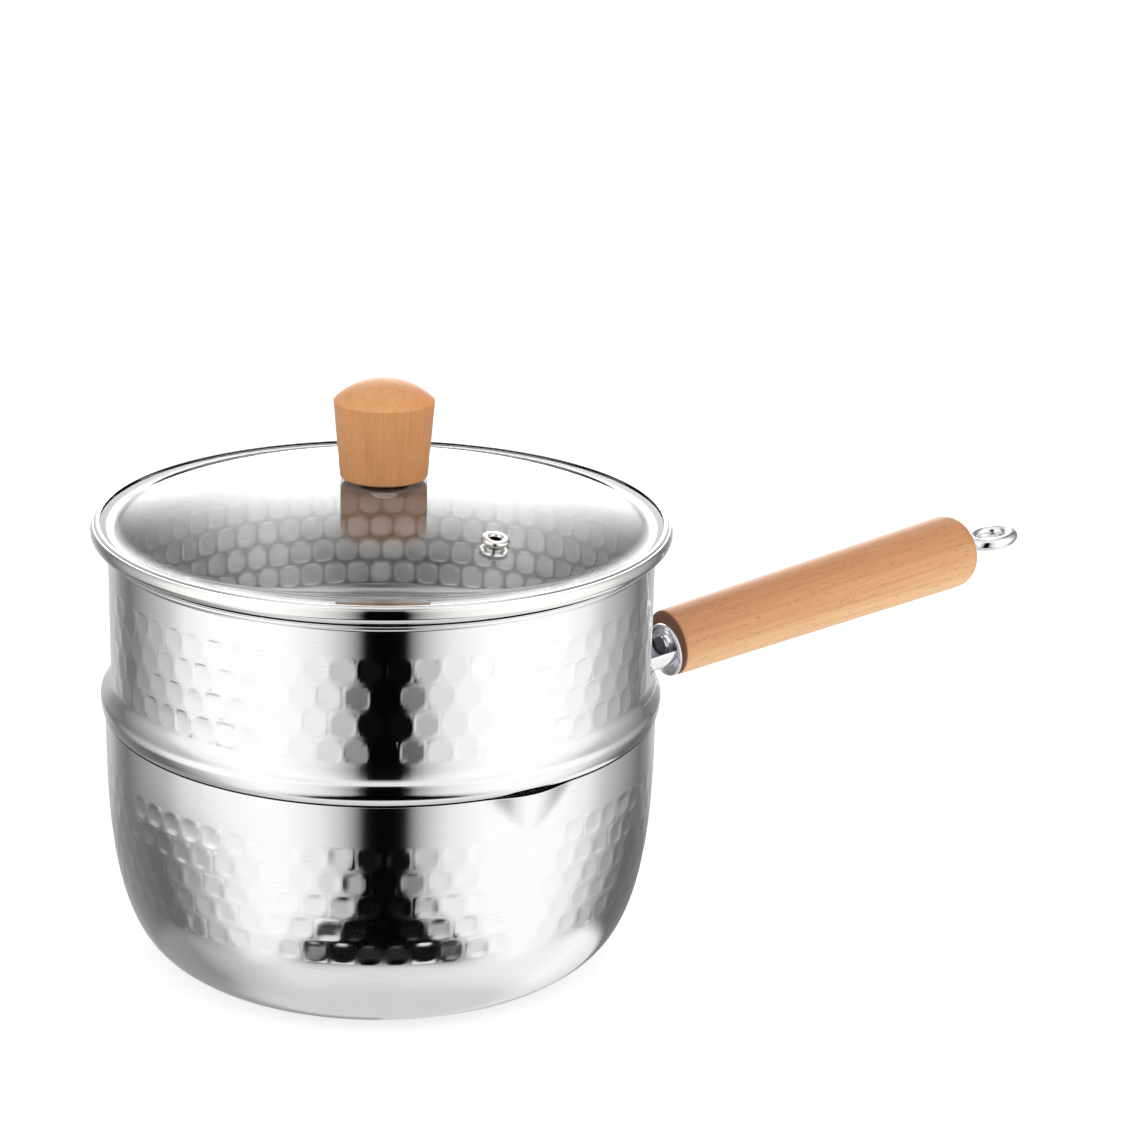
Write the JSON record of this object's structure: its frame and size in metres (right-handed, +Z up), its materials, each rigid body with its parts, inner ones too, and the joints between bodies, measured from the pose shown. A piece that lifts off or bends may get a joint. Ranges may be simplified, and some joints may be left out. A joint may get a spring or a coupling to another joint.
{
  "type": "saucepan with steamer",
  "caption": "Hammered steel saucepan with pouring lips and a wooden stick handle, under a lift-out steamer tier and a domed glass lid with a wooden knob.",
  "frame": {"origin": "centre of the pan's flat underside, on the surface it stands on", "axes": "+Z up along the pan's axis, +X along the handle, +Y and -Y towards the pouring lips"},
  "size_m": [0.3743, 0.1886, 0.1909],
  "materials": {
    "hammered_steel": "satin hammered",
    "bright_steel": "polished",
    "chrome": "mirror",
    "beech": "oiled",
    "glass": "clear",
    "silicone": "matt",
    "brass": "turned"
  },
  "bodies": {
    "pan": {"pan_body": "hammered_steel", "handle_bracket": "bright_steel", "flame_guard": "chrome", "handle_grip": "beech", "tie_rod": "bright_steel", "hanging_eye": "chrome"},
    "steamer": {"steamer_body": "hammered_steel"},
    "lid": {"lid_glass": "glass", "lid_band": "bright_steel", "lid_knob": "beech", "knob_insert": "brass", "knob_screw": "bright_steel", "knob_washer": "bright_steel", "knob_gasket_upper": "silicone", "knob_gasket_lower": "silicone", "vent_eyelet": "bright_steel", "vent_collar": "bright_steel"}
  },
  "joints": [
    {"name": "steamer_lift", "type": "slide", "parent": "pan", "child": "steamer", "axis": [0, 0, 1], "range_m": [0, 0.12]},
    {"name": "lid_lift", "type": "slide", "parent": "steamer", "child": "lid", "axis": [0, 0, 1], "range_m": [0, 0.1]}
  ]
}
